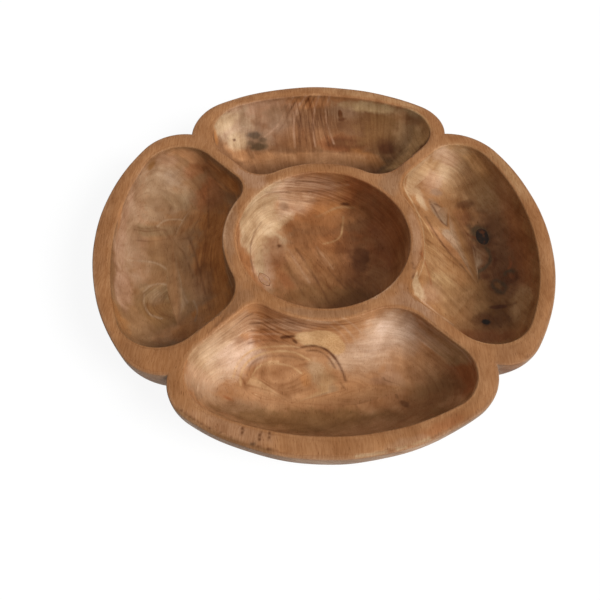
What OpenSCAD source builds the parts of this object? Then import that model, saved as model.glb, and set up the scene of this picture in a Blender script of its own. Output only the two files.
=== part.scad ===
// Divided serving bowl carved from one block of wood: four petal wells round a centre well.
// Seen from above, lobes and petals count from 0 at +X: right, back, left, front.

/* [Bowl] */

// Distance from the middle to the outermost point of every lobe, and half the overall width
bowl_radius = 200; // [190:1:210]

// Height from the flat base to the flat rim
bowl_height = 60; // [56:1:75]

// Each lobe's share of that distance
lobe_reach_shares = [1, 1.008, 1, 1.008]; // [0.98:0.001:1.02]

// Radius of the long outer arc of a lobe
lobe_arc_radius = 206; // [195:1:230]

// Each lobe's share of that radius
lobe_arc_shares = [1, 0.98, 0.98, 0.94]; // [0.9:0.01:1.1]

// How far a lobe's long arc may lie to the side of the lobe's middle
lobe_shift = 3.6; // [0:0.2:5]

// Each lobe's share of that shift, counter-clockwise
lobe_shift_shares = [0, 0.35, -1, 0.2]; // [-1:0.05:1]

// Radius of the two rounded corners of a lobe
lobe_corner_radius = 50; // [40:1:55]

// Shares of that radius where each lobe starts, turning counter-clockwise
lobe_start_shares = [0.7, 0.8, 0.89, 0.79]; // [0.6:0.01:1.1]

// Shares of that radius where each lobe ends
lobe_end_shares = [1.08, 1.06, 0.83, 0.89]; // [0.6:0.01:1.1]

// How far the notches between the lobes lie inside the lobes' reach
notch_depth = 18.5; // [14:0.5:22]

// Directions of the four notches, in degrees
notch_angles = [48.5, 134.5, 228, 318]; // [0:0.5:360]

// How far the edge of the base lies inside the rim
base_inset = 50; // [35:1:60]

/* [Centre well] */

// Radius of the round centre well at the rim
centre_well_radius = 76; // [70:1:82]

// Depth of the centre well below the rim
centre_well_depth = 42; // [32:1:46]

// Width of the curved wall of the centre well, from its edge in to its flat floor
centre_wall_run = 20; // [14:1:30]

// How far the centre well lies towards the back from the middle of the bowl
centre_well_shift = 5; // [0:0.5:8]

/* [Petal wells] */

// Depth of the petal wells below the rim
petal_depth = 42; // [32:1:46]

// Width of the rim outside a petal well, at the middle of the lobe
rim_width = 15; // [12:0.5:20]

// Each petal's share of that width
rim_width_shares = [0.93, 0.8, 1.1, 1.13]; // [0.7:0.01:1.3]

// Radius of the outer arc of a petal well
petal_arc_radius = 218; // [205:1:240]

// Each petal's share of that radius
petal_arc_shares = [0.93, 1.02, 1.1, 0.95]; // [0.9:0.01:1.15]

// Radius of the two corners of a petal well beside the rim
rim_corner_radius = 35; // [30:1:40]

// Shares of that radius where each petal starts, turning counter-clockwise
rim_start_shares = [1.03, 0.97, 1, 1]; // [0.8:0.01:1.2]

// Shares of that radius where each petal ends
rim_end_shares = [0.91, 1.2, 1.06, 0.89]; // [0.8:0.01:1.2]

// Radius of the two corners of a petal well beside the ring
ring_corner_radius = 26; // [20:1:28]

// Shares of that radius where each petal starts
ring_start_shares = [0.62, 0.96, 0.85, 0.54]; // [0.5:0.01:1.3]

// Shares of that radius where each petal ends
ring_end_shares = [1.19, 1, 1.27, 1.27]; // [0.5:0.01:1.3]

// Distance from a divider to the end of the valley along the floor of a petal well
valley_gap = 38; // [30:1:46]

// Squareness of the hollows: 2 is an ellipse, and more is squarer
hollow_power = 2.2; // [1.8:0.1:3]

/* [Dividers] */

// Thickness of the four dividers at the rim
divider_thickness = 11.5; // [8:0.5:14]

// Thickness of the ring round the centre well at the rim
ring_thickness = 12.5; // [10:0.5:16]

// Directions of the four dividers, seen from the centre well, in degrees
divider_angles = [47, 136, 226.5, 316.5]; // [0:0.5:360]

/* [Edges] */

// Rounding of the outer edge of the rim
rim_round = 1.6; // [0.8:0.2:4]

// Rounding of the edges of the wells
well_round = 2.6; // [1.2:0.2:5]

/* [Lens patch] */

// Length of the inlaid patch
patch_length = 17.5; // [12:0.5:22]

// Width of the inlaid patch at its middle
patch_width = 9; // [6:0.5:12]

// Thickness of the inlaid patch
patch_thickness = 3; // [2:0.25:5]

// How far the middle of the patch lies inside the edge of the centre well's flat floor
patch_inset = 0.5; // [0:0.5:6]

// Direction from the middle of the centre well to the patch, in degrees
patch_direction = 200; // [180:1:220]

// Turn of the patch's long side, in degrees
patch_turn = 122.5; // [0:0.5:180]

/* [Knot fill] */

// Length of the filled knot hole
knot_length = 19; // [12:0.5:22]

// Width of the filled knot hole
knot_width = 11.5; // [8:0.5:14]

// Depth of the filled knot hole
knot_depth = 5; // [3:0.5:7]

// Place of the knot along the outer wall of the right petal well, as a share of the wall
knot_along_share = 0.65; // [0.4:0.01:0.8]

// Place of the knot down the wall, in degrees of its curve
knot_down = 69; // [60:1:72]

// Turn of the knot's long side, in degrees
knot_turn = 98; // [0:1:180]

/* [Hidden] */

// Gap round the glued pieces, and the overrun of the cuts past a surface
glue_gap = 0.15;
overrun = 1;

// Segments of each stretch of an outline and of each curved wall
long_steps = 16;
ring_steps = 10;
corner_steps = 7;
wall_steps = 9;
edge_steps = 3;
$fn = 96;

quarter_turn = 90;
half_turn = 180;
full_turn = 360;
lobes = [0 : 3];
hub = [0, centre_well_shift];
notch_radius = bowl_radius - notch_depth;
ring_radius = centre_well_radius + ring_thickness;
floor_radius = centre_well_radius - centre_wall_run;
patch_distance = floor_radius - patch_inset;

// The well edges start this steep, and the walls end this close to level
edge_start = 30;
floor_angle = 83;

// The lower edge of the outside, as degrees of its curve, and how far the lobes fade there
base_angle = 70;
base_fade_share = 0.6;

function polar(r, a) = [r * cos(a), r * sin(a)];
function left_of(v) = [-v.y, v.x];
function angle_of(v) = atan2(v.y, v.x);
function turn_between(a, b) = ((b - a) % full_turn + full_turn) % full_turn;
function lifted(points, z) = [for (p = points) [p.x, p.y, z]];

// Both ends are included, and hand is 1 for counter-clockwise or -1 for clockwise
function arc_points(centre, r, from, to, steps, hand = 1) =
    let (sweep = hand > 0 ? turn_between(from, to) : -turn_between(to, from))
    [for (i = [0 : steps]) centre + polar(r, from + sweep * i / steps)];

function inner_points(points) = [for (i = [1 : len(points) - 2]) points[i]];

// Centre of a circle of radius r through point p that touches a larger circle from inside
function touching_centre(p, r, far_centre, far_radius, hand) =
    let (
        v = p - far_centre,
        far = far_radius - r,
        along = (v * v + far * far - r * r) / (2 * norm(v)),
        aside = sqrt(far * far - along * along)
    )
    far_centre + (along * v + hand * aside * left_of(v)) / norm(v);

function notch(k) = polar(notch_radius, notch_angles[(k + 4) % 4]);

// One lobe of the outer outline, from its first notch up to the next lobe
function lobe_outline(k) =
    let (
        first = notch(k - 1),
        last = notch(k),
        u = polar(1, k * quarter_turn),
        r = lobe_arc_radius * lobe_arc_shares[k],
        r1 = lobe_corner_radius * lobe_start_shares[k],
        r2 = lobe_corner_radius * lobe_end_shares[k],
        reach = bowl_radius * lobe_reach_shares[k],
        centre = (reach - r) * u + lobe_shift * lobe_shift_shares[k] * left_of(u),
        c1 = touching_centre(first, r1, centre, r, 1),
        c2 = touching_centre(last, r2, centre, r, -1),
        out1 = angle_of(c1 - centre),
        out2 = angle_of(c2 - centre),
        corner1 = arc_points(c1, r1, angle_of(first - c1), out1, corner_steps),
        corner2 = arc_points(c2, r2, out2, angle_of(last - c2), corner_steps),
        side = arc_points(centre, r, out1, out2, long_steps)
    )
    concat(corner1, inner_points(side), [for (i = [0 : corner_steps - 1]) corner2[i]]);

outline = [for (k = lobes) each lobe_outline(k)];
base_radius = (bowl_radius + notch_radius) / 2;

// The outline drawn in by a distance, and faded by a share towards a circle
function drawn_in(inset, fade) =
    [for (p = outline) p / norm(p) * (norm(p) + (base_radius - norm(p)) * fade - inset)];

function rim_loop(a) =
    lifted(drawn_in(rim_round * (1 - sin(a)), 0), bowl_height - rim_round * (1 - cos(a)));

function side_loop(a) =
    let (
        drop = sin(a) / sin(base_angle),
        inset = base_inset * (1 - cos(a)) / (1 - cos(base_angle))
    )
    lifted(drawn_in(inset, base_fade_share * drop * drop), (bowl_height - rim_round) * (1 - drop));

// Centre of a rim corner of a petal: it touches the divider's side and the rim arc
function rim_corner_centre(a, side, r, arc_centre, arc_radius, hand) =
    let (
        u = polar(1, a),
        start = hub + (side + r) * hand * left_of(u),
        b = start - arc_centre,
        reach = arc_radius - r
    )
    start + u * (sqrt((b * u) * (b * u) - b * b + reach * reach) - b * u);

// Centre of a ring corner of a petal: it touches the divider's side and the ring
function ring_corner_centre(a, side, r, ring, hand) =
    let (u = polar(1, a))
    hub + (side + r) * hand * left_of(u) + u * sqrt((ring + r) * (ring + r) - (side + r) * (side + r));

function petal_from(k) = divider_angles[(k + 3) % 4];
function petal_to(k) = divider_angles[k];
function petal_reach(k) = bowl_radius - rim_width * rim_width_shares[k];
function petal_arc(k) = petal_arc_radius * petal_arc_shares[k];
function petal_arc_centre(k) = polar(petal_reach(k) - petal_arc(k), k * quarter_turn);
function rim_start(k) = rim_corner_radius * rim_start_shares[k];
function rim_end(k) = rim_corner_radius * rim_end_shares[k];

// Outline of a petal well, grown all round by a distance, counter-clockwise
function petal_outline(k, grow) =
    let (
        a1 = petal_from(k),
        a2 = petal_to(k),
        side = divider_thickness / 2 - grow,
        ring = ring_radius - grow,
        arc_radius = petal_arc(k) + grow,
        arc_centre = petal_arc_centre(k),
        r1 = rim_start(k) + grow,
        r2 = rim_end(k) + grow,
        r3 = ring_corner_radius * ring_end_shares[k] + grow,
        r4 = ring_corner_radius * ring_start_shares[k] + grow,
        c1 = rim_corner_centre(a1, side, r1, arc_centre, arc_radius, 1),
        c2 = rim_corner_centre(a2, side, r2, arc_centre, arc_radius, -1),
        c3 = ring_corner_centre(a2, side, r3, ring, -1),
        c4 = ring_corner_centre(a1, side, r4, ring, 1),
        out1 = angle_of(c1 - arc_centre),
        out2 = angle_of(c2 - arc_centre),
        in3 = angle_of(c3 - hub),
        in4 = angle_of(c4 - hub)
    )
    concat(
        arc_points(c1, r1, a1 - quarter_turn, out1, corner_steps),
        inner_points(arc_points(arc_centre, arc_radius, out1, out2, long_steps)),
        arc_points(c2, r2, out2, a2 + quarter_turn, corner_steps),
        arc_points(c3, r3, a2 + quarter_turn, in3 + half_turn, corner_steps),
        inner_points(arc_points(hub, ring, in3, in4, ring_steps, -1)),
        arc_points(c4, r4, in4 + half_turn, a1 - quarter_turn, corner_steps)
    );

function valley_radius(k) = (ring_radius + petal_reach(k) - hub * polar(1, k * quarter_turn)) / 2;
function valley_turn(k) = asin((divider_thickness / 2 + valley_gap) / valley_radius(k));

// Point of the valley along a petal's floor, at a share of its length
function valley_point(k, share) =
    let (
        from = petal_from(k) + valley_turn(k),
        sweep = turn_between(from, petal_to(k) - valley_turn(k))
    )
    hub + polar(valley_radius(k), from + sweep * share);

// The valley point below each point of the petal's outline
function petal_valley(k) =
    concat(
        [for (i = [0 : corner_steps]) valley_point(k, 0)],
        [for (i = [1 : long_steps - 1]) valley_point(k, i / long_steps)],
        [for (i = [0 : 2 * corner_steps + 1]) valley_point(k, 1)],
        [for (i = [1 : ring_steps - 1]) valley_point(k, 1 - i / ring_steps)],
        [for (i = [0 : corner_steps]) valley_point(k, 0)]
    );

// Shares of a hollow's run and of its drop, at an angle of its curve
function run_share(a) = 1 - pow(cos(a), 2 / hollow_power);
function drop_share(a) = pow(sin(a) / sin(floor_angle), 2 / hollow_power);

function petal_edge_loop(k, a) =
    lifted(petal_outline(k, well_round * (1 - sin(a))), bowl_height - well_round * (1 - cos(a)));

function petal_wall_loop(k, a) =
    let (edge = petal_outline(k, 0), floor_line = petal_valley(k))
    lifted(
        [for (i = [0 : len(edge) - 1]) edge[i] + (floor_line[i] - edge[i]) * run_share(a)],
        bowl_height - well_round - (petal_depth - well_round) * drop_share(a)
    );

edge_angles = [for (i = [0 : edge_steps - 1]) edge_start + (quarter_turn - edge_start) * i / edge_steps];
wall_angles = [for (i = [0 : wall_steps]) floor_angle * i / wall_steps];

// Above the rim the surfaces run on along the slope of their first edge loop
function flare(round) = overrun + round * (1 - cos(edge_start));
function flare_width(round) = round * (1 - sin(edge_start)) + flare(round) / tan(edge_start);

// Solid between rings of points, from the top ring down, each counter-clockwise from above
module lofted(rings) {
    n = len(rings[0]);
    last = n * (len(rings) - 1);
    sides = [
        for (r = [0 : len(rings) - 2], i = [0 : n - 1])
            let (a = r * n + i, b = r * n + (i + 1) % n)
            each [[a, b, b + n], [a, b + n, a + n]]
    ];
    top = [for (i = [n - 1 : -1 : 0]) i];
    bottom = [for (i = [0 : n - 1]) last + i];
    polyhedron([for (ring = rings) each ring], concat([top, bottom], sides));
}

// The outside, cut flat at the rim
module bowl_blank() {
    top = lifted(drawn_in(flare_width(rim_round), 0), bowl_height + overrun);
    edge = [for (a = edge_angles) rim_loop(a)];
    side = [for (i = [0 : wall_steps]) side_loop(base_angle * i / wall_steps)];
    difference() {
        lofted(concat([top], edge, side));
        translate([0, 0, bowl_height])
            cylinder(r = 2 * bowl_radius, h = 2 * overrun);
    }
}

module petal_hollow(k) {
    mouth = lifted(petal_outline(k, flare_width(well_round)), bowl_height + overrun);
    edge = [for (a = edge_angles) petal_edge_loop(k, a)];
    wall = [for (a = wall_angles) petal_wall_loop(k, a)];
    lofted(concat([mouth], edge, wall));
}

// The centre hollow, sunk by a distance below its own surface
module centre_hollow(sink = 0) {
    top = bowl_height - well_round;
    run = centre_wall_run + sink;
    drop = centre_well_depth - well_round + sink;
    edge = [
        for (a = edge_angles)
            [centre_well_radius + sink + well_round * (1 - sin(a)), bowl_height - well_round * (1 - cos(a))]
    ];
    wall = [for (a = wall_angles) [floor_radius + run * (1 - run_share(a)), top - drop * drop_share(a)]];
    mouth = [centre_well_radius + sink + flare_width(well_round), bowl_height + overrun];
    translate(hub)
        rotate_extrude()
            polygon(concat([[0, mouth.y], mouth], edge, wall, [[0, top - drop]]));
}

// Upright column with the lens outline of the patch, wider by a gap all round
module lens_column(gap) {
    half = patch_length / 2 + gap;
    bulge = patch_width / 2 + gap;
    arc_radius = (half * half + bulge * bulge) / (2 * bulge);
    spread = asin(half / arc_radius);
    right = arc_points([bulge - arc_radius, 0], arc_radius, -spread, spread, corner_steps);
    left = [for (p = right) -p];
    translate(hub + polar(patch_distance, patch_direction))
        rotate(patch_turn - quarter_turn)
            linear_extrude(bowl_height)
                polygon(concat(right, inner_points(left)));
}

// Point on the outer wall of a petal, at a share along it and an angle down its curve
function wall_point(k, share, a) =
    let (
        centre = petal_arc_centre(k),
        side = divider_thickness / 2,
        c1 = rim_corner_centre(petal_from(k), side, rim_start(k), centre, petal_arc(k), 1),
        c2 = rim_corner_centre(petal_to(k), side, rim_end(k), centre, petal_arc(k), -1),
        from = angle_of(c1 - centre),
        sweep = turn_between(from, angle_of(c2 - centre)),
        edge = centre + polar(petal_arc(k), from + sweep * share),
        p = edge + (valley_point(k, share) - edge) * run_share(a)
    )
    [p.x, p.y, bowl_height - well_round - (petal_depth - well_round) * drop_share(a)];

// Small steps along and down the wall give the direction that it faces
knot_step_share = 0.01;
knot_step = 1;
knot_steps = 24;
knot_point = wall_point(0, knot_along_share, knot_down);
knot_side = wall_point(0, knot_along_share + knot_step_share, knot_down) - knot_point;
knot_fall = wall_point(0, knot_along_share, knot_down + knot_step) - knot_point;
knot_normal = cross(knot_side, knot_fall) / norm(cross(knot_side, knot_fall));

// Plug across the wall at the knot, from its depth in the wood up to as far over the surface
module knot_plug(gap) {
    long = knot_length / 2 + gap;
    short = knot_width / 2 + gap;
    points = [for (a = [0 : full_turn / knot_steps : full_turn - 1]) [long * cos(a), short * sin(a)]];
    translate(knot_point)
        rotate([0, acos(knot_normal.z), angle_of(knot_normal)])
            rotate(knot_turn)
                translate([0, 0, -knot_depth])
                    linear_extrude(2 * knot_depth)
                        polygon(points);
}

module carved_bowl() {
    color("sienna")
        difference() {
            bowl_blank();
            for (k = lobes) petal_hollow(k);
            centre_hollow();
            intersection() {
                centre_hollow(patch_thickness);
                lens_column(glue_gap);
            }
            knot_plug(glue_gap);
        }
}

module lens_patch() {
    color("peru")
        difference() {
            intersection() {
                centre_hollow(patch_thickness);
                lens_column(0);
            }
            centre_hollow();
        }
}

module knot_fill() {
    color("saddlebrown")
        difference() {
            knot_plug(0);
            petal_hollow(0);
        }
}

carved_bowl();
lens_patch();
knot_fill();
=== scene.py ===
import math

import bmesh
import bpy
import numpy as np
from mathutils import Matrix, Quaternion, Vector, noise
from mathutils.bvhtree import BVHTree
from mathutils.geometry import delaunay_2d_cdt
from mathutils.kdtree import KDTree


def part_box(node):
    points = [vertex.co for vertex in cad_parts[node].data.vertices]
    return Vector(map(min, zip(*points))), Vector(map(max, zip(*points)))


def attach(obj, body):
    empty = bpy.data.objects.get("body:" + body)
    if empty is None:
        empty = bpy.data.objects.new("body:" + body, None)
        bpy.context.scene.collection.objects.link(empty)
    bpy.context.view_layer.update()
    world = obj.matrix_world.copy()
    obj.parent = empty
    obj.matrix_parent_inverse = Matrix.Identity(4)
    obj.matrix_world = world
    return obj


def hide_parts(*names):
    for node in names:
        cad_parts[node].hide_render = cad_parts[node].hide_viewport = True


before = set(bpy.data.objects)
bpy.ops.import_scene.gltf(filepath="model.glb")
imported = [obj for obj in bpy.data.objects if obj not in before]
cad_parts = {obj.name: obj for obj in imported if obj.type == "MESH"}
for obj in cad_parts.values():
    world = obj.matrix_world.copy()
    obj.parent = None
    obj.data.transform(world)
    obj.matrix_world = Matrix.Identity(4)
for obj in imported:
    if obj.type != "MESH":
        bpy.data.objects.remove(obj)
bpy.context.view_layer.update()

MM = 0.001


def shares(length, values):
    """A length in millimetres times each share, in metres."""
    return [length * MM * value for value in values]


# Sizes as the part's source has them. Lobes and petals count from +X: right, back, left, front
BOWL_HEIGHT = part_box("carved_bowl")[1][2]
BOWL_RADIUS = 200 * MM
LOBE_REACH = shares(200, (1, 1.008, 1, 1.008))
LOBE_ARC = shares(206, (1, 0.98, 0.98, 0.94))
LOBE_SHIFT = shares(3.6, (0, 0.35, -1, 0.2))
LOBE_START = shares(50, (0.7, 0.8, 0.89, 0.79))
LOBE_END = shares(50, (1.08, 1.06, 0.83, 0.89))
NOTCH_RADIUS = BOWL_RADIUS - 18.5 * MM
NOTCH_ANGLES = (48.5, 134.5, 228, 318)
BASE_INSET = 50 * MM
BASE_RADIUS = (BOWL_RADIUS + NOTCH_RADIUS) / 2
BASE_ANGLE = 70
BASE_FADE = 0.6
WELL_RADIUS = 76 * MM
WELL_DEPTH = 42 * MM
WELL_RUN = 20 * MM
PETAL_DEPTH = 42 * MM
PETAL_REACH = [BOWL_RADIUS - width for width in shares(15, (0.93, 0.8, 1.1, 1.13))]
PETAL_ARC = shares(218, (0.93, 1.02, 1.1, 0.95))
RIM_START = shares(35, (1.03, 0.97, 1, 1))
RIM_END = shares(35, (0.91, 1.2, 1.06, 0.89))
RING_START = shares(26, (0.62, 0.96, 0.85, 0.54))
RING_END = shares(26, (1.19, 1, 1.27, 1.27))
VALLEY_GAP = 38 * MM
HOLLOW_POWER = 2.2
FLOOR_ANGLE = 83
DIVIDER = 11.5 * MM
RING_RADIUS = WELL_RADIUS + 12.5 * MM
DIVIDER_ANGLES = (47, 136, 226.5, 316.5)
RIM_ROUND = 1.6 * MM
WELL_ROUND = 1.6 * MM
HUB = Vector((0, 5 * MM))

# Steps of the mesh, finer than the source's
LONG_STEPS = 170
RING_STEPS = 96
CORNER_STEPS = 40
WALL_STEPS = 76
EDGE_STEPS = 5
PETAL_FLOOR_SHARES = (0.94, 0.985)
CENTRE_FLOOR_RINGS = 32
BASE_RINGS = 24
BASE_RING_START = 0.4
LAND_STEP = 2 * MM
LAND_ROW_STEP = LAND_STEP * math.sqrt(0.75)
LAND_COLUMNS = int(1.02 * BOWL_RADIUS / LAND_STEP)
LAND_ROWS = int(1.2 * LAND_COLUMNS)
LAND_CLEARANCE = 0.6 * LAND_STEP
SAME_PLACE = 1e-7

# Zones of the surface. The first four are the petal wells
RIGHT, BACK, LEFT, FRONT, CENTRE, LAND, OUTSIDE = range(7)


def polar(radius, degrees):
    turn = math.radians(degrees)
    return Vector((radius * math.cos(turn), radius * math.sin(turn)))


def left_of(v):
    return Vector((-v.y, v.x))


def angle_of(v):
    return math.degrees(math.atan2(v.y, v.x))


def arc_points(centre, radius, start, end, steps, hand=1):
    sweep = (end - start) % 360 if hand > 0 else -((start - end) % 360)
    return [centre + polar(radius, start + sweep * i / steps) for i in range(steps + 1)]


def touching_centre(p, radius, far_centre, far_radius, hand):
    """Centre of a circle through p that touches a larger circle from inside."""
    v = p - far_centre
    far = far_radius - radius
    along = (v.dot(v) + far * far - radius * radius) / (2 * v.length)
    aside = math.sqrt(far * far - along * along)
    return far_centre + (along * v + hand * aside * left_of(v)) / v.length


def lobe_outline(k):
    """One lobe of the outer outline, from its first notch up to the next lobe."""
    first = polar(NOTCH_RADIUS, NOTCH_ANGLES[(k + 3) % 4])
    last = polar(NOTCH_RADIUS, NOTCH_ANGLES[k])
    u = polar(1, 90 * k)
    centre = (LOBE_REACH[k] - LOBE_ARC[k]) * u + LOBE_SHIFT[k] * left_of(u)
    c1 = touching_centre(first, LOBE_START[k], centre, LOBE_ARC[k], 1)
    c2 = touching_centre(last, LOBE_END[k], centre, LOBE_ARC[k], -1)
    out1, out2 = angle_of(c1 - centre), angle_of(c2 - centre)
    corner1 = arc_points(c1, LOBE_START[k], angle_of(first - c1), out1, CORNER_STEPS)
    side = arc_points(centre, LOBE_ARC[k], out1, out2, LONG_STEPS)
    corner2 = arc_points(c2, LOBE_END[k], out2, angle_of(last - c2), CORNER_STEPS)
    return corner1 + side[1:-1] + corner2[:-1]


OUTLINE = [p for k in range(4) for p in lobe_outline(k)]


def drawn_in(inset, fade):
    """The outline drawn in by a distance, and faded by a share towards a circle."""
    return [p.normalized() * (p.length + (BASE_RADIUS - p.length) * fade - inset) for p in OUTLINE]


def rim_corner_centre(a, side, radius, arc_centre, arc_radius, hand):
    u = polar(1, a)
    start = HUB + (side + radius) * hand * left_of(u)
    b = start - arc_centre
    reach = arc_radius - radius
    return start + u * (math.sqrt(b.dot(u) ** 2 - b.dot(b) + reach * reach) - b.dot(u))


def ring_corner_centre(a, side, radius, ring, hand):
    u = polar(1, a)
    along = math.sqrt((ring + radius) ** 2 - (side + radius) ** 2)
    return HUB + (side + radius) * hand * left_of(u) + u * along


def petal_outline(k, grow=0.0):
    """Outline of a petal well, grown all round by a distance, counter-clockwise."""
    a1, a2 = DIVIDER_ANGLES[(k + 3) % 4], DIVIDER_ANGLES[k]
    side = DIVIDER / 2 - grow
    ring = RING_RADIUS - grow
    radius = PETAL_ARC[k] + grow
    centre = polar(PETAL_REACH[k] - PETAL_ARC[k], 90 * k)
    r1, r2 = RIM_START[k] + grow, RIM_END[k] + grow
    r3, r4 = RING_END[k] + grow, RING_START[k] + grow
    c1 = rim_corner_centre(a1, side, r1, centre, radius, 1)
    c2 = rim_corner_centre(a2, side, r2, centre, radius, -1)
    c3 = ring_corner_centre(a2, side, r3, ring, -1)
    c4 = ring_corner_centre(a1, side, r4, ring, 1)
    out1, out2 = angle_of(c1 - centre), angle_of(c2 - centre)
    in3, in4 = angle_of(c3 - HUB), angle_of(c4 - HUB)
    start = arc_points(c1, r1, a1 - 90, out1, CORNER_STEPS)
    rim = arc_points(centre, radius, out1, out2, LONG_STEPS)
    end = arc_points(c2, r2, out2, a2 + 90, CORNER_STEPS)
    inner_end = arc_points(c3, r3, a2 + 90, in3 + 180, CORNER_STEPS)
    ring_side = arc_points(HUB, ring, in3, in4, RING_STEPS, -1)
    inner_start = arc_points(c4, r4, in4 + 180, a1 - 90, CORNER_STEPS)
    return start + rim[1:-1] + end + inner_end + ring_side[1:-1] + inner_start


def valley_point(k, share):
    """Point of the valley along a petal's floor, at a share of its length."""
    radius = (RING_RADIUS + PETAL_REACH[k] - HUB.dot(polar(1, 90 * k))) / 2
    turn = math.degrees(math.asin((DIVIDER / 2 + VALLEY_GAP) / radius))
    start = DIVIDER_ANGLES[(k + 3) % 4] + turn
    sweep = (DIVIDER_ANGLES[k] - turn - start) % 360
    return HUB + polar(radius, start + sweep * share)


def petal_valley(k):
    """The valley point below each point of the petal's outline."""
    places = [0.0] * (CORNER_STEPS + 1)
    places += [i / LONG_STEPS for i in range(1, LONG_STEPS)]
    places += [1.0] * (2 * CORNER_STEPS + 2)
    places += [1 - i / RING_STEPS for i in range(1, RING_STEPS)]
    places += [0.0] * (CORNER_STEPS + 1)
    return [valley_point(k, share) for share in places]


def run_share(a):
    return 1 - math.cos(math.radians(a)) ** (2 / HOLLOW_POWER)


def drop_share(a):
    return (math.sin(math.radians(a)) / math.sin(math.radians(FLOOR_ANGLE))) ** (2 / HOLLOW_POWER)


def spaced(end, steps):
    return [end * i / steps for i in range(1, steps + 1)]


def lifted(points, z):
    return [Vector((p.x, p.y, z)) for p in points]


def rounding(radius):
    """Steps over a rounded edge, as the width left outside the wall and the drop from the top."""
    turns = [math.radians(a) for a in [0.0] + spaced(90, EDGE_STEPS)]
    return [(radius * (1 - math.sin(turn)), radius * (1 - math.cos(turn))) for turn in turns]


def petal_rings(k):
    """Rings of a petal well, from the land down to its floor."""
    rings = [lifted(petal_outline(k, out), BOWL_HEIGHT - drop) for out, drop in rounding(WELL_ROUND)]
    edge, valley = petal_outline(k), petal_valley(k)
    for a in spaced(FLOOR_ANGLE, WALL_STEPS):
        z = BOWL_HEIGHT - WELL_ROUND - (PETAL_DEPTH - WELL_ROUND) * drop_share(a)
        rings.append(lifted([e + (v - e) * run_share(a) for e, v in zip(edge, valley)], z))
    for share in PETAL_FLOOR_SHARES:
        rings.append(lifted([e + (v - e) * share for e, v in zip(edge, valley)], BOWL_HEIGHT - PETAL_DEPTH))
    return rings


def centre_rings():
    """Rings of the round centre well, from the land down to the middle of its floor."""
    steps = 2 * LONG_STEPS
    profile = [(WELL_RADIUS + out, BOWL_HEIGHT - drop) for out, drop in rounding(WELL_ROUND)]
    floor_radius = WELL_RADIUS - WELL_RUN
    for a in spaced(FLOOR_ANGLE, WALL_STEPS // 2):
        z = BOWL_HEIGHT - WELL_ROUND - (WELL_DEPTH - WELL_ROUND) * drop_share(a)
        profile.append((floor_radius + WELL_RUN * (1 - run_share(a)), z))
    for i in range(CENTRE_FLOOR_RINGS):
        profile.append((floor_radius * (1 - (i + 1) / (CENTRE_FLOOR_RINGS + 1)), BOWL_HEIGHT - WELL_DEPTH))
    return [lifted([HUB + polar(r, 360 * i / steps) for i in range(steps)], z) for r, z in profile]


def outside_rings():
    """Rings of the outside, from the land over the rim's edge and down under the base."""
    rings = [lifted(drawn_in(out, 0), BOWL_HEIGHT - drop) for out, drop in rounding(RIM_ROUND)]
    full = math.radians(BASE_ANGLE)
    for a in spaced(BASE_ANGLE, WALL_STEPS // 2):
        turn = math.radians(a)
        drop = math.sin(turn) / math.sin(full)
        inset = BASE_INSET * (1 - math.cos(turn)) / (1 - math.cos(full))
        rings.append(lifted(drawn_in(inset, BASE_FADE * drop * drop), (BOWL_HEIGHT - RIM_ROUND) * (1 - drop)))
    base = rings[-1]
    for i in range(BASE_RINGS):
        share = 1 - (i + BASE_RING_START) / BASE_RINGS
        rings.append([Vector((p.x * share, p.y * share, 0.0)) for p in base])
    return rings


def add_rings(bm, rings, zone, number, flip=False):
    """Quads between rings of points, and a cap on the last. Returns the first ring's vertices."""
    rows = [[bm.verts.new(p) for p in ring] for ring in rings]
    for row in rows:
        for vert in row:
            vert[zone] = number
    for upper, lower in zip(rows, rows[1:]):
        for i in range(len(upper)):
            j = (i + 1) % len(upper)
            quad = (upper[i], lower[i], lower[j], upper[j])
            bm.faces.new(quad if flip else quad[::-1])
    bm.faces.new(rows[-1] if not flip else rows[-1][::-1])
    return rows[0]


def inside(points, loop):
    """For each point, whether it lies inside a closed loop of points."""
    hits = np.zeros(len(points), bool)
    for a, b in zip(loop, np.roll(loop, -1, axis=0)):
        if a[1] != b[1]:
            crossed = (a[1] > points[:, 1]) != (b[1] > points[:, 1])
            hits ^= crossed & (points[:, 0] < (b[0] - a[0]) * (points[:, 1] - a[1]) / (b[1] - a[1]) + a[0])
    return hits


def on_land(points, loops):
    land = inside(points, loops[0])
    for loop in loops[1:]:
        land &= ~inside(points, loop)
    return land


def nearest(points, loops):
    """Distance from each point to the nearest point of the loops."""
    targets = [p for loop in loops for p in loop]
    tree = KDTree(len(targets))
    for i, p in enumerate(targets):
        tree.insert((p[0], p[1], 0), i)
    tree.balance()
    return np.array([tree.find((p[0], p[1], 0))[2] for p in points])


def land_grid(loops):
    """Even points on the flat top, clear of the loops."""
    across = np.arange(-LAND_COLUMNS, LAND_COLUMNS + 1)
    rows = [np.column_stack([(across + 0.5 * (j % 2)) * LAND_STEP, np.full(len(across), j * LAND_ROW_STEP)])
            for j in range(-LAND_ROWS, LAND_ROWS)]
    points = np.concatenate(rows)
    points = points[on_land(points, loops)]
    return points[nearest(points, loops) > LAND_CLEARANCE]


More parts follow.
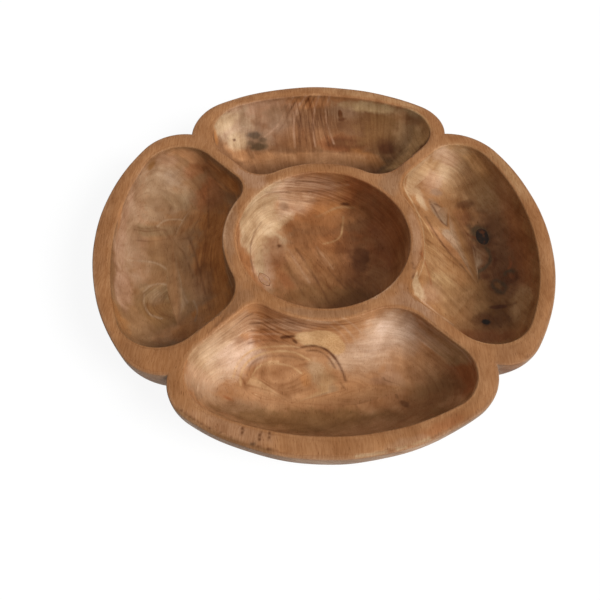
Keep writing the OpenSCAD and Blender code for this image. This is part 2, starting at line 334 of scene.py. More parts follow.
def add_land(bm, rows, zone):
    """The flat top between the outer row of vertices and the wells' rows, as even triangles."""
    loops = [np.array([v.co.xy for v in row]) for row in rows]
    points, edges = [], []
    for loop in loops:
        base = len(points)
        points += [Vector(p) for p in loop]
        edges += [(base + i, base + (i + 1) % len(loop)) for i in range(len(loop))]
    on_rows = len(points)
    points += [Vector(p) for p in land_grid(loops)]
    places, _, faces, origins, _, _ = delaunay_2d_cdt(points, edges, [], 0, SAME_PLACE)
    row_verts = [v for row in rows for v in row]
    verts = []
    for place, origin in zip(places, origins):
        fixed = [i for i in origin if i < on_rows]
        if fixed:
            verts.append(row_verts[fixed[0]])
        else:
            verts.append(bm.verts.new((*place, BOWL_HEIGHT)))
            verts[-1][zone] = LAND
    middles = np.array([sum((places[i] for i in face), Vector((0, 0))) / len(face) for face in faces])
    for face, land in zip(faces, on_land(middles, loops)):
        if land:
            bm.faces.new([verts[i] for i in face])
    return loops


# Softness of hand carving
CROWN_DROP = 0.45 * MM
CROWN_WIDTH = 4 * MM
CROWN_FADE = 14 * MM
WOBBLE = 0.45 * MM
WOBBLE_LENGTH = 34 * MM
# Height over the base by which the wobble up and down is full, its share and its sink
LIFT_FADE = 6 * MM
LIFT_SHARE = 0.6
LIFT_SINK = 0.8
BOX_MARGIN = 0.25 * MM
SMOOTH_BELOW = 36 * MM
SMOOTH_ROUNDS = 68
SMOOTH_FACTOR = 0.5
NOISE_SHIFT = Vector((17.3, 5.1, 9.7))


def noise_at(points, length, seed):
    """Smooth noise from about -1 to 1 at each point, with lumps of a given length."""
    shift = NOISE_SHIFT * seed
    return np.array([noise.noise(Vector(p) / length + shift) for p in points])


def smooth(t):
    t = np.clip(t, 0, 1)
    return t * t * (3 - 2 * t)


def soften(points, zones, loops):
    """Crowns the land a little and gives the surface the slight wobble of hand carving."""
    land = zones == LAND
    drop = np.clip(1 - (BOWL_HEIGHT - points[:, 2]) / CROWN_FADE, 0, 1)
    drop[land] = 1 - smooth(nearest(points[land], loops) / CROWN_WIDTH)
    points[:, 2] -= CROWN_DROP * drop
    points[:, 0] += WOBBLE * noise_at(points, WOBBLE_LENGTH, 1)
    points[:, 1] += WOBBLE * noise_at(points, WOBBLE_LENGTH, 2)
    points[:, :2] *= 1 - BOX_MARGIN / BOWL_RADIUS
    lift = smooth(points[:, 2] / LIFT_FADE) * (noise_at(points, WOBBLE_LENGTH, 3) - LIFT_SINK)
    points[:, 2] += LIFT_SHARE * WOBBLE * lift
    return points


def build_bowl():
    bm = bmesh.new()
    zone = bm.verts.layers.int.new("zone")
    rows = [add_rings(bm, outside_rings(), zone, OUTSIDE, flip=True)]
    rows += [add_rings(bm, petal_rings(k), zone, k) for k in range(4)]
    rows.append(add_rings(bm, centre_rings(), zone, CENTRE))
    loops = add_land(bm, rows, zone)
    bmesh.ops.recalc_face_normals(bm, faces=bm.faces)
    low = [v for v in bm.verts if v[zone] < LAND and v.co.z < SMOOTH_BELOW]
    for _ in range(SMOOTH_ROUNDS):
        bmesh.ops.smooth_vert(bm, verts=low, factor=SMOOTH_FACTOR,
                              use_axis_x=True, use_axis_y=True, use_axis_z=True)
    mesh = bpy.data.meshes.new("bowl_body")
    bm.to_mesh(mesh)
    bm.free()
    points = mesh_points(mesh)
    zones = np.zeros(len(points), np.int32)
    mesh.attributes["zone"].data.foreach_get("value", zones)
    mesh.attributes.remove(mesh.attributes["zone"])
    points = soften(points, zones, loops)
    mesh.vertices.foreach_set("co", points.ravel())
    mesh.update()
    mesh.shade_smooth()
    return link("bowl_body", mesh), points, zones


def mesh_points(mesh):
    points = np.zeros(3 * len(mesh.vertices))
    mesh.vertices.foreach_get("co", points)
    return points.reshape(-1, 3)


def link(name, mesh):
    piece = bpy.data.objects.new(name, mesh)
    bpy.context.collection.objects.link(piece)
    return piece


# The camera, fitted to the photograph
CAMERA_AT = Vector((-21.0, -392.7, 549.4)) * MM
CAMERA_TARGET = Vector((-19.68, -64.1, 60.0)) * MM
CAMERA_ROLL = math.radians(1.0)
CAMERA_LENS = 43.0
CAMERA_SENSOR = 36.0
CAMERA_NEAR = 0.01


def add_camera():
    camera = bpy.data.cameras.new("camera")
    camera.lens = CAMERA_LENS
    camera.sensor_width = CAMERA_SENSOR
    camera.clip_start = CAMERA_NEAR
    rig = bpy.data.objects.new("camera", camera)
    look = (CAMERA_TARGET - CAMERA_AT).to_track_quat("-Z", "Y")
    rig.rotation_mode = "QUATERNION"
    rig.rotation_quaternion = look @ Quaternion((0, 0, 1), CAMERA_ROLL)
    rig.location = CAMERA_AT
    bpy.context.collection.objects.link(rig)
    bpy.context.scene.camera = rig


# The marks below are placed where the photograph shows them: millimetres on the plane of the rim,
# seen from the camera. Each lies on the surface behind that place.

# Wood colours, and the pale colour of the painted gloss, as linear red, green and blue
COLOURS = {
    "rim": (0.378, 0.180, 0.077),
    "brown": (0.365, 0.163, 0.066),
    "hazel": (0.345, 0.170, 0.070),
    "tan": (0.450, 0.228, 0.106),
    "cream": (0.530, 0.368, 0.222),
    "butter": (0.700, 0.430, 0.205),
    "sand": (0.610, 0.380, 0.195),
    # Pale pinkish white for painted gloss, the sheen of the oiled surface
    "pearl": (0.640, 0.450, 0.330),
    # Pinkish pale, used both for the wood's pink and for painted sheen
    "blush": (0.550, 0.355, 0.230),
    "straw": (0.500, 0.335, 0.175),
    "khaki": (0.435, 0.250, 0.120),
    "moss": (0.245, 0.152, 0.077),
    "pink": (0.430, 0.250, 0.155),
    "ash": (0.350, 0.228, 0.138),
    "grey": (0.290, 0.168, 0.098),
    "earth": (0.275, 0.142, 0.064),
    "bark": (0.290, 0.185, 0.120),
    "walnut": (0.225, 0.105, 0.047),
    "olive": (0.250, 0.122, 0.046),
    "amber": (0.450, 0.190, 0.060),
    "red": (0.310, 0.102, 0.034),
    "umber": (0.130, 0.047, 0.017),
    "smoke": (0.095, 0.054, 0.025),
    "black": (0.018, 0.010, 0.006),
}

# Ground colour of each zone, and how its growth layers rise along X, Y and Z
GROUNDS = {
    RIGHT: ("hazel", (0.45, 0.32, 0.45)),
    BACK: ("walnut", (0.80, 0.08, 0.12)),
    LEFT: ("earth", (0.40, 0.05, 0.55)),
    FRONT: ("tan", (0.12, 0.10, 1.00)),
    CENTRE: ("brown", (0.26, 0.18, 1.10)),
    LAND: ("rim", (0.55, 0.06, 0.40)),
    OUTSIDE: ("bark", (0.35, 0.12, 1.00)),
}

# Bulges of the growth layers, which show as ovals: place, half length, half width, turn and height
SWELLS = (
    (-40, -137, 28, 20, 5, 12),
    (20, -150, 18, 14, 0, -5),
    (-132, -70, 24, 20, 40, 9),
    (-128, 12, 18, 12, 0, 4),
    (-62, 118, 22, 18, 20, 7),
    (20, 155, 10, 12, 0, 5),
    (70, 118, 22, 22, 0, 9),
    (140, 5, 16, 24, 10, 8),
    (150, -44, 16, 14, 30, 6),
    (118, 70, 26, 20, 60, -8),
    (-45, 25, 20, 26, -30, -7),
    (30, -15, 22, 28, 0, 7),
    (5, 12, 16, 20, -20, 6),
)

# Where the growth layers show more: place, half length, half width, turn and strength
FIGURES = (
    (-25, -90, 62, 16, 0, 0.65),
    (-40, -136, 36, 25, 0, 0.55),
    (60, -92, 24, 14, 50, 0.25),
    (-15, 62, 50, 20, 0, 0.6),
    (-10, -36, 34, 26, -60, 0.4),
    (-60, 0, 14, 40, 0, 0.3),
    (-12, 150, 30, 50, 0, 0.75),
    (-132, 40, 30, 14, 0, 0.4),
    (-140, 4, 30, 12, 0, 0.4),
    (-132, -66, 26, 22, 0, 0.5),
    (-100, -20, 16, 60, 5, 0.4),
    (98, -20, 20, 30, 0, 0.4),
    (130, 80, 20, 26, 0, 0.3),
    (72, 130, 26, 26, 0, 0.25),
)

# Where the growth layers fade out, as on the pale comma of the front well
CALMS = (
    (-5, -100, 20, 11, -8, 0.8),
    (9, -108, 11, 10, -50, 0.8),
    (-4, -138, 9, 22, 0, 0.7),
)

# Soft marks: colour, place, half length, half width, turn and strength. Over 1, the edge is sharper. Some are
# painted sheen, painted light or painted shade, as noted
MARKS = (
    # Front well
    # Painted sheen: the pale glossy patch at the left end of the front well
    ("blush", -90, -122, 34, 26, 60, 1.3),
    ("cream", -98, -118, 12, 20, 60, 0.7),
    ("brown", -30, -93, 26, 12, 0, 0.7),
    # Painted sheen on the upper left wall of the front well
    ("blush", -63, -88, 8, 12, 0, 0.9),
    ("red", -50, -101, 18, 8, 0, 0.4),
    ("brown", -42, -138, 24, 15, 0, 0.35),
    ("ash", -76, -160, 34, 9, -18, 0.5),
    # Painted sheen: the broad pale glossy patch right of the middle, in this mark and the next
    ("blush", 50, -97, 34, 22, 44, 1.4),
    ("blush", 26, -120, 20, 16, 0, 1.3),
    ("tan", 24, -140, 18, 14, 10, 0.6),
    ("pink", 50, -140, 12, 14, 0, 0.6),
    ("tan", 72, -112, 22, 20, 50, 0.9),
    ("blush", 66, -104, 14, 12, 30, 0.6),
    # Painted gloss: pale patches where the oiled surface shows a sheen, in these four marks
    ("pearl", 58, -91, 22, 14, 40, 1.2),
    ("pearl", 36, -108, 16, 12, 40, 0.5),
    ("pearl", -70, -118, 20, 16, 40, 0.6),
    ("pearl", -54, -118, 14, 8, 10, 0.4),
    ("blush", -22, -88, 30, 6, 0, 0.5),
    ("red", 108, -133, 13, 20, 10, 0.9),
    ("khaki", 104, -113, 12, 10, 20, 1.3),
    ("olive", 84, -146, 30, 14, 25, 0.75),
    ("walnut", 76, -130, 16, 9, 20, 0.3),
    ("brown", 42, -153, 26, 11, 10, 0.8),
    ("olive", 0, -173, 100, 11, 0, 0.9),
    ("tan", 40, -176, 34, 6, 10, 0.9),
    ("brown", 72, -158, 22, 7, 24, 0.5),
    ("cream", -6, -132, 8, 13, 0, 0.6),
    ("straw", 2, -142, 8, 16, 0, 0.5),
    ("amber", -14, -138, 5, 8, 0, 0.6),
    ("grey", 6, -146, 4, 9, 10, 0.5),
    ("sand", -11, -101, 11, 6, -4, 3.5),
    ("sand", 0, -101, 12, 7.5, -10, 3.5),
    ("sand", 8, -106, 9, 6.5, -45, 3.5),
    ("umber", -30, -99.5, 6, 1.6, 5, 1.3),
    ("umber", -23, -104, 3, 1.3, -40, 0.9),
    ("umber", 60, -157, 4.5, 2.4, -25, 0.6),
    ("red", -73, -154, 6, 2, -25, 0.8),
    # Centre well
    ("cream", -60, 20, 18, 48, 0, 1.8),
    ("cream", -48, 52, 28, 14, 45, 1.1),
    ("blush", -30, 62, 26, 11, 20, 0.7),
    ("blush", -52, -30, 9, 24, 12, 0.9),
    ("cream", -55, -22, 5, 22, 8, 1.2),
    ("pink", -12, 66, 32, 15, 0, 0.7),
    ("cream", -40, 18, 20, 7, 45, 0.8),
    # Painted sheen: the pale glossy area round the grey smudge
    ("blush", -28, 44, 20, 16, 40, 0.8),
    ("grey", -36, 38, 6.5, 4.5, -30, 0.7),
    ("amber", 4, 34, 20, 8, 5, 0.5),
    ("walnut", 27, -4, 16, 30, 0, 1.0),
    ("umber", 34, 4, 12, 26, 0, 0.35),
    ("umber", 22, -36, 13, 18, 0, 0.7),
    ("umber", 20, -8, 12, 12, 0, 0.4),
    ("olive", -10, -32, 32, 26, 0, 0.6),
    ("red", 12, -18, 40, 30, 0, 0.3),
    ("walnut", -24, -48, 20, 14, 30, 0.4),
    ("walnut", -18, 0, 18, 12, 0, 0.4),
    ("walnut", -41, -14, 8, 20, 12, 0.5),
    ("red", -41, -14, 8, 20, 12, 0.35),
    ("red", -30, -48, 5, 20, 28, 0.5),
    ("tan", -20, -30, 7, 22, 30, 0.5),
    ("tan", 0, -22, 6, 16, 40, 0.5),
    ("walnut", -14, 12, 24, 7, -10, 0.45),
    ("umber", 20, 41, 5, 2.2, 0, 1.0),
    ("red", 36, 58, 22, 16, -35, 0.8),
    ("walnut", 42, 46, 12, 20, 30, 0.5),
    ("red", 58, 10, 18, 46, 0, 0.6),
    ("umber", 31, -20, 9, 15, 0, 1.3),
    ("olive", 4, -60, 52, 11, 0, 0.7),
    ("umber", -38, -8, 1.6, 1.6, 0, 0.9),
    # Right well
    ("khaki", 128, 92, 40, 36, 60, 2.0),
    ("cream", 122, 94, 28, 20, 70, 0.6),
    # Painted sheen on the upper wall of the right well
    ("blush", 116, 104, 12, 14, 60, 0.8),
    ("cream", 81, 70, 4.5, 16, -8, 0.8),
    ("cream", 88, 50, 3.5, 16, 14, 0.9),
    ("pink", 100, 70, 10, 16, 0, 0.6),
    ("grey", 103, 57, 6, 5, 0, 0.9),
    ("khaki", 94, -28, 13, 32, 8, 0.7),
    ("cream", 77, -47, 4, 14, 4, 1.4),
    ("straw", 99, -46, 11, 16, 20, 0.6),
    ("khaki", 110, -64, 18, 18, 0, 0.7),
    ("pink", 90, -54, 8, 12, 0, 0.5),
    ("walnut", 150, -14, 28, 70, 4, 0.9),
    ("khaki", 154, 70, 13, 36, 20, 1.0),
    ("butter", 148, 90, 8, 20, 20, 0.8),
    ("umber", 148, -36, 20, 30, 0, 0.4),
    ("olive", 144, -72, 28, 18, 0, 0.9),
    ("khaki", 138, 60, 22, 22, 0, 0.9),
    ("straw", 150, 56, 16, 26, 10, 0.4),
    ("red", 172, 0, 10, 70, 4, 0.5),
    ("red", 122, 30, 10, 12, 0, 0.3),
    ("umber", 127, 42, 12, 5.5, 15, 0.7),
    ("ash", 107, 29, 17, 6, -57, 2.0),
    ("blush", 106, 32, 10, 3, -57, 0.6),
    ("ash", 118, -6, 22, 8, -62, 1.6),
    ("blush", 113, 0, 12, 5, -62, 0.7),
    ("ash", 127, -19, 8, 14, -20, 0.7),
    ("tan", 106, -2, 34, 3.4, -58, 1.2),
    ("olive", 128, -52, 14, 16, 0, 0.9),
    ("khaki", 163, -66, 9, 20, -22, 1.2),
    ("umber", 136, -30, 10, 4, 20, 0.7),
    ("umber", 150, -40, 14, 10, 30, 0.6),
    ("umber", 158, -37, 7, 7, 0, 0.9),
    ("umber", 147, -48, 9, 8, 0, 0.8),
    ("olive", 146, -47, 3, 3.5, 0, 0.9),
    ("red", 159, -37, 3, 3, 0, 0.3),
    ("umber", 136, -82, 16, 8, 0, 0.7),
    ("black", 131, -83, 3.6, 2.6, 0, 1.4),
    ("umber", 140, 6, 12, 15, 0, 1.0),
    ("smoke", 138, 8, 10, 12, 20, 1.2),
    ("umber", 144, -68, 9, 2, 8, 1.3),
    ("umber", 136, -37, 6, 4, 0, 0.9),
    ("red", 130, -98, 30, 7, 0, 0.6),
    # Left well
    ("pink", -168, 20, 12, 80, 3, 0.6),
    ("ash", -170, 12, 9, 64, 3, 0.5),
    ("pink", -178, 8, 6, 52, 2, 0.8),
    ("pink", -167, -56, 8, 24, 15, 1.2),
    ("pink", -146, 94, 14, 12, 0, 0.5),
    ("ash", -152, 62, 20, 26, 0, 0.9),
    ("red", -116, 84, 10, 14, -40, 0.5),
    ("olive", -161, 86, 3, 7, -15, 1.2),
    ("ash", -138, 42, 26, 17, 0, 0.8),
    ("moss", -130, 42, 16, 12, 0, 0.5),
    ("moss", -146, 6, 24, 8, 0, 0.8),
    ("ash", -150, 24, 14, 8, 0, 0.6),
    ("moss", -132, -22, 26, 22, 0, 0.3),
    ("walnut", -132, 0, 20, 30, 0, 0.3),
    ("moss", -132, -70, 24, 20, -15, 1.1),
    ("olive", -130, -78, 24, 18, -15, 0.9),
    ("ash", -138, -64, 8, 8, 0, 0.5),
    # Partly the wood's orange, partly painted light: lifts the well's right-hand wall, which faces away from
    # the lamp
    ("amber", -94, -12, 12, 60, 0, 1.6),
    ("red", -102, 58, 12, 30, -8, 0.7),
    ("walnut", -96, 50, 10, 22, -8, 0.5),
    # Partly the wood's tone, partly painted light lifting the shaded upper right wall, in this mark and the
    # next
    ("amber", -90, 70, 26, 8, -54, 1.6),
    ("tan", -126, 100, 22, 7, -24, 1.1),
    # Partly the wood's tone, partly painted light lifting the shaded lower right wall, in this mark and the
    # next
    ("amber", -92, -76, 24, 9, 48, 1.6),
    ("tan", -114, -96, 20, 8, 32, 1.2),
    ("walnut", -100, -50, 10, 26, 6, 0.7),
    # Partly the wood's tone, partly painted light on the shaded lower right wall
    ("amber", -112, -96, 16, 8, 32, 0.7),
    ("amber", -181, 30, 2.4, 34, 5, 0.5),
    ("amber", -167, -82, 5, 20, 26, 0.5),
    # Back well
    ("brown", 10, 178, 100, 10, 0, 1.0),
    ("pink", -60, 164, 34, 20, 12, 0.9),
    ("ash", -86, 140, 24, 28, 0, 1.0),
    # Painted sheen on the lit left end of the back well
    ("blush", -92, 142, 14, 22, 0, 0.5),
    ("cream", -99, 144, 9, 20, -25, 1.2),
    ("tan", -78, 100, 22, 8, -35, 0.9),
    ("amber", -104, 126, 3, 12, 12, 0.8),
    ("grey", -44, 148, 13, 26, 0, 0.9),
    ("brown", -16, 124, 40, 18, 0, 0.4),
    ("umber", -43, 122, 10, 18, 0, 0.35),
    ("grey", -63, 122, 18, 17, 0, 0.9),
    # Painted sheen: a pale glossy spot beside the dark blobs
    ("cream", -83, 120, 10, 15, 0, 1.0),
    ("smoke", -63, 120, 12, 14, 10, 0.3),
    ("smoke", -66, 128, 9, 5, 0, 0.9),
    ("smoke", -58, 122, 4, 5, 0, 0.7),
    ("smoke", -61, 112, 9, 5.5, 15, 1.1),
    ("smoke", -69, 117, 3.5, 4, 0, 0.6),
    ("umber", -85, 121, 1.6, 2.6, 20, 1.0),
    ("grey", 24, 166, 22, 16, 0, 0.7),
    ("umber", 18, 161, 2.4, 6, 5, 1.4),
    ("umber", 20, 152, 4.5, 3, 20, 1.0),
    ("red", 24, 118, 26, 13, 0, 0.8),
    ("umber", 26, 119, 22, 11, 0, 0.85),
    ("olive", 66, 132, 42, 38, 0, 0.9),
    ("moss", 58, 92, 18, 10, -35, 0.8),
    ("amber", 46, 100, 18, 7, -35, 0.7),
    ("umber", 60, 116, 14, 13, 0, 0.6),
    ("umber", 61, 112, 8, 9, 0, 1.3),
    ("straw", 50, 171, 34, 9, -9, 1.0),
    # Partly the wood's olive tan, partly painted light: pale tones lift the right end wall, which faces away
    # from the lamp
    ("khaki", 93, 138, 16, 32, -24, 1.8),
    ("butter", 99, 136, 9, 28, -18, 1.3),
    ("butter", 78, 100, 24, 8, 48, 0.9),
    ("umber", 85, 157, 6, 4, 20, 0.6),
    ("umber", 96, 152, 5, 7, 0, 0.5),
    ("tan", -4, 99, 74, 7.5, 0, 0.8),
    # Rim, ring and dividers
    ("pink", 72, -68, 22, 16, -45, 0.8),
    ("grey", -72, -68, 22, 14, 45, 0.4),
    ("grey", -5, -78, 70, 7, 0, 0.45),
    ("grey", 66, 72, 22, 14, 45, 0.5),
    ("walnut", -193, 10, 8, 70, 0, 0.2),
    ("pink", -68, 74, 22, 16, -45, 0.8),
    ("grey", -82, 0, 8, 50, 0, 0.5),
    ("pink", 82, 0, 8, 50, 0, 0.4),
    ("pink", -70, -178, 34, 12, -20, 0.4),
    ("tan", 94, 152, 30, 8, -45, 0.5),
    ("khaki", 172, 88, 10, 40, 20, 0.6),
    ("khaki", 60, 185, 70, 9, -12, 0.5),
    ("straw", 93, 166, 22, 6, -44, 0.8),
    ("red", 86, -175, 22, 6, 26, 0.5),
    ("blush", 60, -188, 20, 5, 18, 0.35),
    ("blush", 66, -191.5, 30, 5, 20, 0.35),
    # Painted shade on the outer wall under the right front notch
    ("walnut", 146, -125.5, 14, 5, 20, 1.0),
    ("walnut", -150, -116, 16, 9, -55, 0.3),
    ("walnut", 142, -115, 16, 8, 55, 0.25),
    ("blush", -92, 167, 16, 4, 35, 0.6),
)

# Thin marks: colour, width, strength and the points that the line runs through. Some are painted highlights
# and painted shade, as noted
LINES = (
    # Front well
    ("umber", 1.4, 0.9, (-22, -110), (-10, -107.5), (0, -110), (8, -118), (13, -128), (16, -138)),
    ("umber", 1.0, 0.6, (-14, -112), (-5, -112), (3, -118), (8, -127)),
    ("sand", 0.8, 1.3, (-64, -143), (-64, -132), (-58, -121), (-44, -114), (-26, -113), (-12, -120)),
    ("sand", 0.8, 1.3, (-52, -150), (-56, -140), (-53, -129), (-44, -123), (-36, -122)),
    ("sand", 0.7, 1.0, (-70, -136), (-66, -122), (-54, -111), (-30, -108), (-20, -109)),
    ("umber", 1.1, 0.5, (45, -135), (51, -144), (55, -152)),
    ("blush", 1.0, 0.7, (8, -84), (18, -92), (25, -104), (29, -117)),
    ("blush", 0.9, 0.6, (14, -80), (26, -90), (34, -103)),
    ("blush", 0.8, 0.5, (2, -86), (14, -96), (20, -108)),
    ("umber", 0.9, 0.5, (-84, -100), (-70, -86), (-58, -78)),
    ("umber", 0.7, 0.5, (-60, -88), (-40, -86), (-16, -87), (2, -91)),
    ("umber", 0.7, 0.5, (-62, -95), (-46, -93), (-28, -93), (-18, -94)),
    ("umber", 0.8, 0.5, (-60, -106), (-48, -103), (-36, -104), (-28, -107)),
    ("blush", 0.9, 0.6, (-66, -84), (-50, -84), (-22, -83), (6, -86)),
    ("blush", 0.7, 0.5, (-60, -98), (-44, -97), (-34, -97)),
    ("umber", 0.8, 0.5, (12, -140), (20, -152), (24, -160)),
    ("sand", 0.7, 1.0, (-46, -126), (-38, -124), (-26, -126), (-18, -132)),
    ("umber", 1.0, 0.5, (-60, -134), (-56, -124), (-46, -118), (-30, -117), (-16, -120)),
    # Centre well
    ("umber", 0.9, 0.6, (-55, 18), (-61, 4), (-63, -16), (-58, -42)),
    ("khaki", 0.9, 1.0, (-6, 25), (3, 31), (11, 36), (18, 37.5), (28, 37)),
    ("khaki", 0.9, 1.0, (18, 26), (17, 14), (15, 4), (9, -2), (0, -5)),
    ("umber", 1.4, 0.6, (-24, -10), (-14, -28), (-4, -48), (4, -66)),
    ("umber", 1.2, 0.5, (-10, -4), (-2, -20), (8, -38), (18, -52)),
    ("umber", 1.0, 0.4, (-34, -20), (-26, -40), (-16, -60)),
    ("blush", 1.2, 0.35, (-30, -12), (-22, -28), (-12, -46)),
    ("blush", 1.0, 0.25, (-6, -8), (2, -22), (8, -32)),
    ("umber", 0.8, 0.5, (-52, 54), (-30, 55), (0, 57), (26, 60)),
    ("umber", 0.8, 0.4, (-46, 66), (-20, 68), (10, 67), (30, 70)),
    ("blush", 0.9, 0.5, (-46, 60), (-20, 61), (6, 62), (24, 65)),
    ("umber", 0.7, 0.4, (-40, 46), (-16, 44), (10, 46)),
    # Right well
    ("umber", 1.1, 1.0, (97, 45), (101, 35), (105, 23), (111, 16), (118, 14)),
    ("umber", 2.2, 1.2, (118, 17), (124, 11), (129, 6), (134, 4)),
    ("umber", 0.9, 0.8, (101, 43), (108, 38), (111, 28), (118, 17)),
    ("umber", 1.0, 0.7, (124, 10), (129, -2), (131, -14), (128, -28)),
    ("umber", 1.4, 0.7, (150, -62), (153, -66), (158, -64)),
    ("smoke", 2.4, 1.2, (141, -7), (144, -14), (142, -22), (137, -29), (131, -33), (130, -39)),
    ("umber", 2.6, 1.0, (146, -12), (147, -22), (143, -30)),
    ("red", 1.8, 0.7, (160, -16), (160, -24), (157, -30)),
    ("smoke", 2.4, 1.1, (163, -33), (159, -31), (154, -33), (153, -38)),
    ("umber", 2.0, 1.3, (153, -38), (156, -42), (161, -41), (163, -36), (163, -33)),
    ("smoke", 2.0, 1.0, (150, -44), (145, -41), (141, -44), (142, -49), (147, -53)),
    ("smoke", 2.6, 1.1, (150, -45), (152, -49), (149, -54), (144, -53)),
    ("umber", 1.8, 0.8, (92, 27), (98, 10), (106, -8), (116, -24), (127, -38)),
    ("red", 1.6, 0.7, (84, -12), (88, -30), (90, -46)),
    ("umber", 1.0, 0.6, (76, -24), (77, -32), (75, -40)),
    ("butter", 0.9, 0.7, (86, 30), (92, 16), (96, 4)),
    ("cream", 1.3, 0.9, (84, 84), (78, 77), (75, 67), (77, 56), (82, 42), (86, 28)),
    ("cream", 1.0, 0.6, (86, 28), (88, 12), (88, -4), (87, -18), (83, -32)),
    ("cream", 1.3, 0.8, (83, -32), (78, -44), (76, -54), (80, -62)),
    ("blush", 0.9, 0.7, (80, -62), (92, -75), (104, -86)),
    # Left well
    ("ash", 1.1, 0.9, (-165, -26), (-148, -27), (-136, -32), (-126, -43), (-118, -56), (-112, -68)),
    ("umber", 1.4, 0.4, (-168, 12), (-158, 9), (-146, 10), (-138, 7)),
    ("umber", 1.6, 0.5, (-114, 98), (-104, 84), (-97, 70), (-94, 54)),
    ("ash", 1.0, 0.8, (-148, -60), (-147, -70), (-141, -80), (-131, -84)),
    ("ash", 1.0, 0.9, (-149, -58), (-144, -52), (-134, -50), (-124, -56), (-118, -66), (-120, -76)),
    ("ash", 0.9, 0.6, (-107, -66), (-103, -76), (-104, -86)),
    ("ash", 1.1, 0.9, (-146, 12), (-140, 19), (-128, 20), (-118, 16)),
    ("umber", 1.3, 0.6, (-122, 8), (-114, -8), (-106, -32), (-98, -60)),
    ("umber", 1.0, 0.5, (-128, 0), (-118, -22), (-108, -46)),
    ("umber", 1.2, 0.5, (-112, 84), (-106, 62), (-103, 36), (-101, 10)),
    ("umber", 0.9, 0.5, (-166, 8), (-154, 6), (-142, 8)),
    ("umber", 0.9, 0.5, (-162, -4), (-150, -5), (-136, -2)),
    # Back well
    ("umber", 1.2, 0.7, (-12, 186), (-19, 168), (-22, 146), (-21, 114)),
    ("umber", 1.0, 0.6, (-7, 186), (-13, 168), (-16, 144), (-15, 112)),
    ("pink", 1.0, 0.7, (-3, 186), (-7, 168), (-9, 146), (-7, 114)),
    ("pink", 1.1, 0.7, (-16, 186), (-25, 166), (-28, 142), (-26, 112)),
    ("umber", 1.0, 0.6, (3, 186), (-1, 168), (0, 144), (6, 116)),
    ("pink", 1.0, 0.6, (8, 186), (4, 168), (5, 146), (11, 118)),
    ("umber", 1.0, 0.6, (-24, 184), (-32, 164), (-38, 144), (-46, 128)),
    ("pink", 1.0, 0.6, (-29, 184), (-36, 164), (-44, 142), (-56, 126)),
    # Rim, ring and dividers
    # Painted shade: a dark band along the front left edge, where the outer wall below it is in shade
    ("earth", 2.2, 1.1, (-110, -164), (-100, -171.6), (-80, -183), (-60, -190.4), (-40, -195.6)),
    # Painted highlights: thin pale lines along the well edges where they catch the light, in these three
    # lines
    ("blush", 0.8, 0.8, (74, -80), (86, -88), (98, -99), (108, -110), (114, -120)),
    ("blush", 0.8, 0.6, (-77, 47), (-84, 27), (-87, 6), (-86, -14), (-81, -38), (-76, -52)),
    ("blush", 0.7, 0.6, (40, -62), (58, -46), (70, -24), (75, -4)),
    # Painted shade: a dark line on the front left edge
    ("umber", 0.5, 0.9, (-108, -164), (-90, -175.6), (-70, -185.4), (-50, -191.8), (-36, -195)),
    # Worn pale flecks along the front right edge, with a painted highlight where the edge catches the light,
    # in these three lines
    ("cream", 1.2, 0.9, (22, -198.6), (34, -197), (44, -195)),
    ("cream", 1.0, 0.9, (52, -193), (58, -191)),
    ("cream", 1.0, 0.9, (64, -189), (76, -184.6)),
    ("umber", 1.0, 1.1, (-61, -183), (-60.5, -178)),
    ("umber", 0.9, 1.0, (-48, -187), (-47.5, -180)),
    ("umber", 0.8, 0.9, (-41, -187), (-40.5, -181)),
    ("black", 1.6, 0.9, (-54, -190.5), (-51.5, -190)),
    ("umber", 0.9, 0.5, (-86, -90), (-80, -80)),
    ("umber", 0.8, 0.4, (-92, -98), (-85, -86)),
)

# Waves of the growth layers and of the marks' ragged edges: length and height of each
LAYER_WARPS = ((46 * MM, 1.8 * MM), (15 * MM, 0.4 * MM))
RAGGED_LENGTHS = ((16 * MM, 0.34), (6 * MM, 0.26), (2.5 * MM, 0.14))
WARP_SEED, RAGGED_SEED, MOTTLE_SEED = 5, 8, 12

# How far marks, figure and lines spread over the surface, and how strongly
MOST_STRETCH = 2.4
MARK_REACH = 1.25
MARK_FADE = 0.8
WELL_FIGURE = 0.22
OUTSIDE_FIGURE = 0.5
FIGURE_START = 1.5 * MM
FIGURE_FADE = 5 * MM
LINE_CORE = 0.6 * MM
LINE_SOFTNESS = 0.35 * MM
LINE_REACH = 3
LINE_STRENGTH = 0.85
LINE_WEAR = 1.8
LEAST_SPAN = 1e-12
EDGE_BLEND = 0.8
SPAN_STEPS = 6


def ray_to(x, y):
    """Direction from the camera through a place on the plane of the rim."""
    return (Vector((x * MM, y * MM, BOWL_HEIGHT)) - CAMERA_AT).normalized()


def seen(tree, x, y):
    """Surface point and its normal, as the camera sees them at a place on the plane of the rim."""
    place, normal = tree.ray_cast(CAMERA_AT, ray_to(x, y))[:2]
    return place, normal


def along_surface(place, normal, x, y, turn, length):
    """Step on the surface's own slope that the camera sees as a length in a direction, from x, y."""
    aside = polar(1, turn)
    ray = ray_to(x + aside.x, y + aside.y)
    step = CAMERA_AT + ray * (normal.dot(place - CAMERA_AT) / normal.dot(ray)) - place
    return step * length * min(1.0, MOST_STRETCH * MM / step.length)


def zone_at(surface, place):
    return surface["zones"][surface["near"].find(place)[1]]


